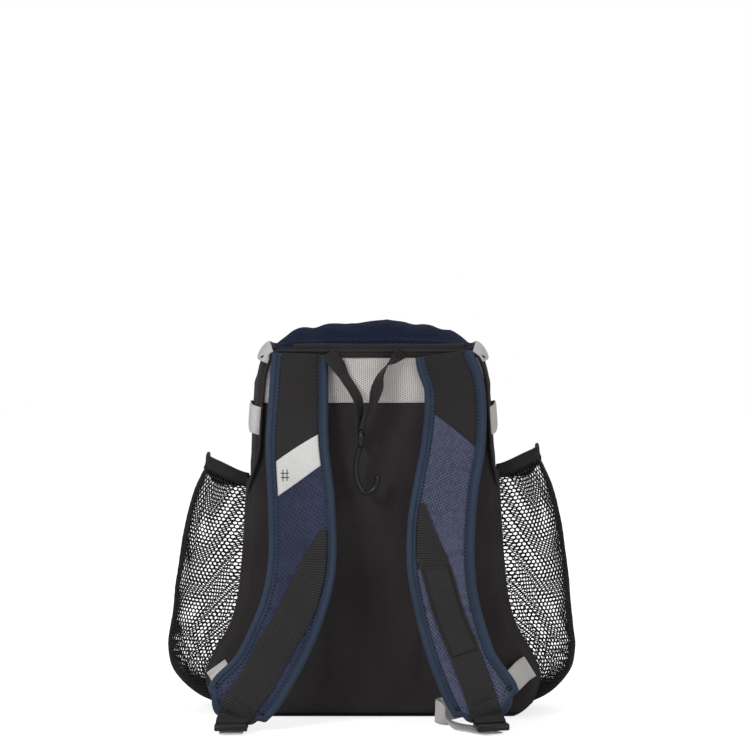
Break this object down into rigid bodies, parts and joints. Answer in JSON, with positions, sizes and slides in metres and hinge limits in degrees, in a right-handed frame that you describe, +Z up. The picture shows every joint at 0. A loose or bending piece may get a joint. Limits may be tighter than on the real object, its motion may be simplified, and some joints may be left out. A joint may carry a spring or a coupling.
{
  "type": "baseball bat backpack",
  "caption": "Youth bat backpack standing on its base: padded back with bowed shoulder straps, bulging mesh side pockets for bats, zipped main compartment, hang loop and swinging fence hook.",
  "frame": {"origin": "middle of the base, on the ground", "axes": "+X to the viewer's right when looking at the shoulder straps, +Y from the straps towards the bag's outer face, +Z up"},
  "size_m": [0.4544, 0.3192, 0.44],
  "materials": {
    "black_fabric": "plain woven polyester",
    "navy_fabric": "dobby woven polyester",
    "spacer_mesh": "knitted spacer mesh",
    "black_webbing": "ribbed webbing",
    "grey_webbing": "ribbed webbing",
    "zip_coil": "coil",
    "black_plastic": "moulded",
    "black_net": "knitted hexagonal net",
    "strap_ripstop": "ripstop grid",
    "navy_binding": "fine knitted binding",
    "white_patch": "smooth coated patch",
    "woven_label": "satin woven label, blank"
  },
  "bodies": {
    "bag": {"side_panel_left": "black_fabric", "side_panel_right": "black_fabric", "top_panel": "navy_fabric", "bottom_panel": "black_fabric", "back_panel": "black_fabric", "mesh_band": "spacer_mesh", "yoke": "black_fabric", "front_panel": "navy_fabric", "zip_tape": "black_webbing", "zip_coil": "zip_coil", "zip_pull_left": "black_plastic", "zip_pull_right": "black_plastic", "corner_strap_left": "grey_webbing", "corner_strap_right": "grey_webbing", "side_patch_left": "grey_webbing", "side_patch_right": "grey_webbing", "pocket_net_left": "black_net", "pocket_net_right": "black_net", "pocket_hem_left": "black_webbing", "pocket_hem_right": "black_webbing", "strap_pad_left": "strap_ripstop", "strap_pad_right": "strap_ripstop", "strap_binding_left": "navy_binding", "strap_binding_right": "navy_binding", "strap_web_left": "black_webbing", "strap_web_right": "black_webbing", "number_patch": "white_patch", "strap_label": "woven_label", "buckle_left": "black_plastic", "buckle_right": "black_plastic", "lower_web_left": "grey_webbing", "lower_web_right": "grey_webbing", "hang_loop": "black_webbing"},
    "hook": {"fence_hook": "black_plastic"}
  },
  "joints": [
    {"name": "hook_swing", "type": "hinge", "parent": "bag", "child": "hook", "pos_m": [-0.013, -0.108, 0.316], "axis": [0, 1, 0], "range_deg": [-45, 25]}
  ]
}
